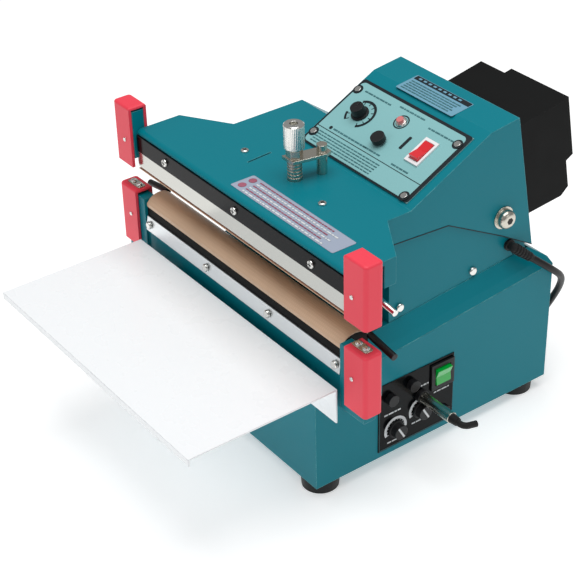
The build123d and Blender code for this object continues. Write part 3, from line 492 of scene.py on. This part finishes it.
def housing_point(out, down):
    """Point of the rear cover, from its top edge on the leaning rear wall: (y, z)."""
    y, z = HOUSING_TOP
    return (y + out * math.cos(WALL_LEAN) + down * math.sin(WALL_LEAN),
            z + out * math.sin(WALL_LEAN) - down * math.cos(WALL_LEAN))


def on_housing_back(out, x):
    """Rear face seen from behind: u runs towards -x, v up the leaning face."""
    y, z = housing_point(out, 0)
    return place(x, y, z) @ Euler((math.pi / 2 + WALL_LEAN, 0, math.pi)).to_matrix().to_4x4()


def rear_housing_details():
    """Louvres and a raised rim on the rear cover's back, and its four corner screws."""
    where = on_housing_back(HOUSING_DEPTH, 76.5)
    louvres = [rectangle(-27, 27, v, v + 3.2, 1.5) for v in range(-50, -14, 7)]
    print_on("rear_louvres", louvres, where, BLACK, "arm", 0.9)
    rim = [rectangle(-36, 36, -62.5, -61, 0.7), rectangle(-36, 36, -4, -2.5, 0.7),
           rectangle(-36, -34.5, -61, -4), rectangle(34.5, 36, -61, -4)]
    print_on("rear_rim", rim, where, BLACK_TEXTURED, "arm", 0.6)
    heads = [disc(u, v, 2.6, 20) for u in (-31, 31) for v in (-57, -9)]
    print_on("rear_screws", heads, where, NICKEL, "arm", 1.0)


def terminal_lugs():
    """Bright tags under the two terminal screws on each lower end cap."""
    for name, side in (("right", 1), ("left", -1)):
        low, high = sorted((side * 169.5, side * 190.0))
        tag = rectangle(low, high, 7.5, 16.5, 2.0)
        print_on(f"terminal_lug_{name}", [tag], place(0, 0, 200.02), NICKEL, "base", 0.9)


RING_COUNT, RING_PITCH, FIRST_RING = 6, 3.6, 4.0


def relief_rings():
    """Moulded rings round the tapered sleeve where the lead leaves the upright."""
    start = Vector(CORD_ROUTE[0])
    run = (Vector(CORD_ROUTE[1]) - start).normalized()
    turn = run.to_track_quat("Z", "Y").to_euler()
    for ring in range(RING_COUNT):
        back = FIRST_RING + RING_PITCH * ring
        spot = start - run * back
        radius = 4.4 + 0.05 * back
        band = prisms([arc_band(0, 0, radius - 1.5, radius, 0, 359.9)], 1.6,
                      place(*spot, tuple(math.degrees(a) for a in turn)))
        new_piece(f"relief_ring_{ring}", band, RUBBER, "base")


def hex_socket_shades():
    """Painted shade: dark hexagons on the ends of the pivot shaft's nuts, standing for the shade inside
    their hexagon sockets.
    """
    for name, side in (("right", 1), ("left", -1)):
        face = side * (ARM_SIDE_X + 10.0)
        hexagon = disc(PIVOT[0], PIVOT[1], 3.6, 6)
        where = on_side(face + (0.02 if side > 0 else -0.12))
        print_on(f"pivot_hex_shade_{name}", [hexagon], where, BLACK_STEEL, "arm", 0.1)


def paint_faces(node, material, chosen):
    """Give the faces of a CAD node whose centre (machine millimetres) is chosen a second finish."""
    mesh = frame["nodes"][node].data
    mesh.materials.append(material)
    for polygon in mesh.polygons:
        spot = polygon.center * 1000 - Vector((0, SHIFT_Y, 0))
        if chosen(spot):
            polygon.material_index = len(mesh.materials) - 1


def lamp_lens_face(spot):
    """Whether a spot is on the lamp's lens, which stands higher than its bezel and is narrower."""
    foot = Vector((LAMP[0], LAMP[1], DECK_Z + (LAMP[1] - PANEL_FOOT_Y) * math.tan(PANEL_TILT)))
    away = spot - foot
    height = away.dot(PANEL_NORMAL)
    return height > LENS_FOOT and (away - PANEL_NORMAL * height).length < LENS_REACH


def cable_boot_face(spot):
    return spot.x > BOOT_X


def make_return_spring():
    """The solenoid's spring, standing on the frame: a copy of the CAD spring with its own mesh, in steel."""
    cad = frame["nodes"]["return_spring"]
    spring = add_object("pressed_spring", cad.data.copy())
    spring.data.materials.clear()
    spring.data.materials.append(SLOT_MATERIALS["steel"])
    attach(spring, "base")
    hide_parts("return_spring")
    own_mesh(spring)


# ---------------------------------------------------------------- lead
CORD_ROUTE = [
    (130.0, 259.0, 168.0), (135.0, 271.0, 158.0), (137.0, 284.0, 147.0), (134.0, 298.0, 134.0),
    (125.0, 307.0, 116.0), (113.0, 311.0, 94.0), (100.0, 312.0, 70.0), (86.0, 311.5, 46.0),
    (70.0, 310.5, 25.0), (54.0, 309.6, 11.5), (38.0, 308.2, 4.2), (20.0, 307.0, 3.5), (2.0, 307.0, 3.5),
]
COIL_X, COIL_Y = -30.0, 352.0
COIL_OUTER, COIL_INNER = 45.0, 31.0
COIL_TURNS = 3
TURN_POINTS = 16
PLUG_RUN = [(-50.0, 307.0, 10.4), (-66.0, 307.0, 10.4)]


def coil_points():
    """Clockwise from above: in towards the middle on the floor, then out again on top."""
    points = []
    total = COIL_TURNS * TURN_POINTS
    for layer, z in enumerate((CORD_D / 2 + 0.1, CORD_D * 1.5 - 0.1)):
        for step in range(total + (layer == 1)):
            part = step / total
            inward = part if layer == 0 else 1 - part
            radius = COIL_OUTER - (COIL_OUTER - COIL_INNER) * inward
            angle = -math.pi / 2 - 2 * math.pi * COIL_TURNS * (part + layer)
            points.append((COIL_X + radius * math.cos(angle), COIL_Y + radius * math.sin(angle), z))
    return points


def make_cord():
    route = CORD_ROUTE + coil_points() + PLUG_RUN
    curve = bpy.data.curves.new("power_lead", "CURVE")
    curve.dimensions = "3D"
    curve.bevel_depth = CORD_D / 2000
    curve.bevel_resolution = 6
    curve.use_fill_caps = True
    spline = curve.splines.new("NURBS")
    spline.points.add(len(route) - 1)
    for point, spot in zip(spline.points, route):
        point.co = (*metres(*spot), 1)
    spline.order_u = 3
    spline.use_endpoint_u = True
    spline.resolution_u = 8
    lead = add_object("power_lead", curve)
    curve.materials.append(CORD_SKIN)
    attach(lead, "base")
    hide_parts("power_cord_run", "power_cord_coil")


# ---------------------------------------------------------------- studio
FLOOR_HALF = 6.0
CAMERA_AT = (1054.7, -692.7, 999.0)
CAMERA_AZIMUTH, CAMERA_ELEVATION, CAMERA_ROLL = 54.30, 33.30, -1.54


def add_camera():
    data = bpy.data.cameras.new("camera")
    data.lens = 101.4
    data.sensor_width = 36
    data.clip_end = 20
    camera = add_object("camera", data)
    pan = Matrix.Rotation(math.radians(CAMERA_AZIMUTH), 4, "Z")
    tilt = Matrix.Rotation(math.radians(90 - CAMERA_ELEVATION), 4, "X")
    roll = Matrix.Rotation(math.radians(CAMERA_ROLL), 4, "Z")
    camera.matrix_world = Matrix.Translation(metres(*CAMERA_AT)) @ pan @ tilt @ roll
    bpy.context.scene.camera = camera


def add_softbox(name, spot, aim, size, power):
    data = bpy.data.lights.new(name, "AREA")
    data.shape = "RECTANGLE"
    data.size, data.size_y = size
    data.energy = power
    lamp = add_object(name, data)
    lamp.location = spot
    lamp.rotation_euler = (Vector(aim) - Vector(spot)).to_track_quat("-Z", "Y").to_euler()


def add_studio():
    mesh = bpy.data.meshes.new("floor")
    corners = [(x * FLOOR_HALF, y * FLOOR_HALF, 0) for x, y in ((-1, -1), (1, -1), (1, 1), (-1, 1))]
    mesh.from_pydata(corners, [], [(0, 1, 2, 3)])
    floor = add_object("floor", mesh)
    mesh.materials.append(make_material("floor paper", [0.92, 0.92, 0.92, 1], 0.8, grain=40, relief=0.01,
                                        mottle=0.01, glow=0.42))
    bpy.context.scene.view_settings.view_transform = "Standard"
    world = bpy.data.worlds.new("studio")
    world.use_nodes = True
    world.node_tree.nodes["Background"].inputs["Color"].default_value = (1, 1, 1, 1)
    world.node_tree.nodes["Background"].inputs["Strength"].default_value = 0.32
    bpy.context.scene.world = world
    add_softbox("overhead", (0.1, 0.0, 1.9), (0, 0, 0.2), (1.6, 1.6), 27)
    add_softbox("front", (-0.3, -1.8, 1.0), (0, 0, 0.2), (1.4, 1.0), 3)
    add_softbox("side", (2.0, 0.6, 0.9), (0, 0, 0.15), (1.0, 1.0), 2)


add_camera()
make_return_spring()
make_cord()
dress_cad_nodes()
paint_faces("jack_plug", RUBBER, cable_boot_face)
paint_faces("indicator_lamp", LENS_CLEAR, lamp_lens_face)
print_control_panel()
print_name_plate()
print_caution_label()
print_side_panel()
screw_recess_shade()
seam_shade_strip()
hex_socket_shades()
rear_housing_details()
terminal_lugs()
relief_rings()
add_studio()

bpy.context.view_layer.update()
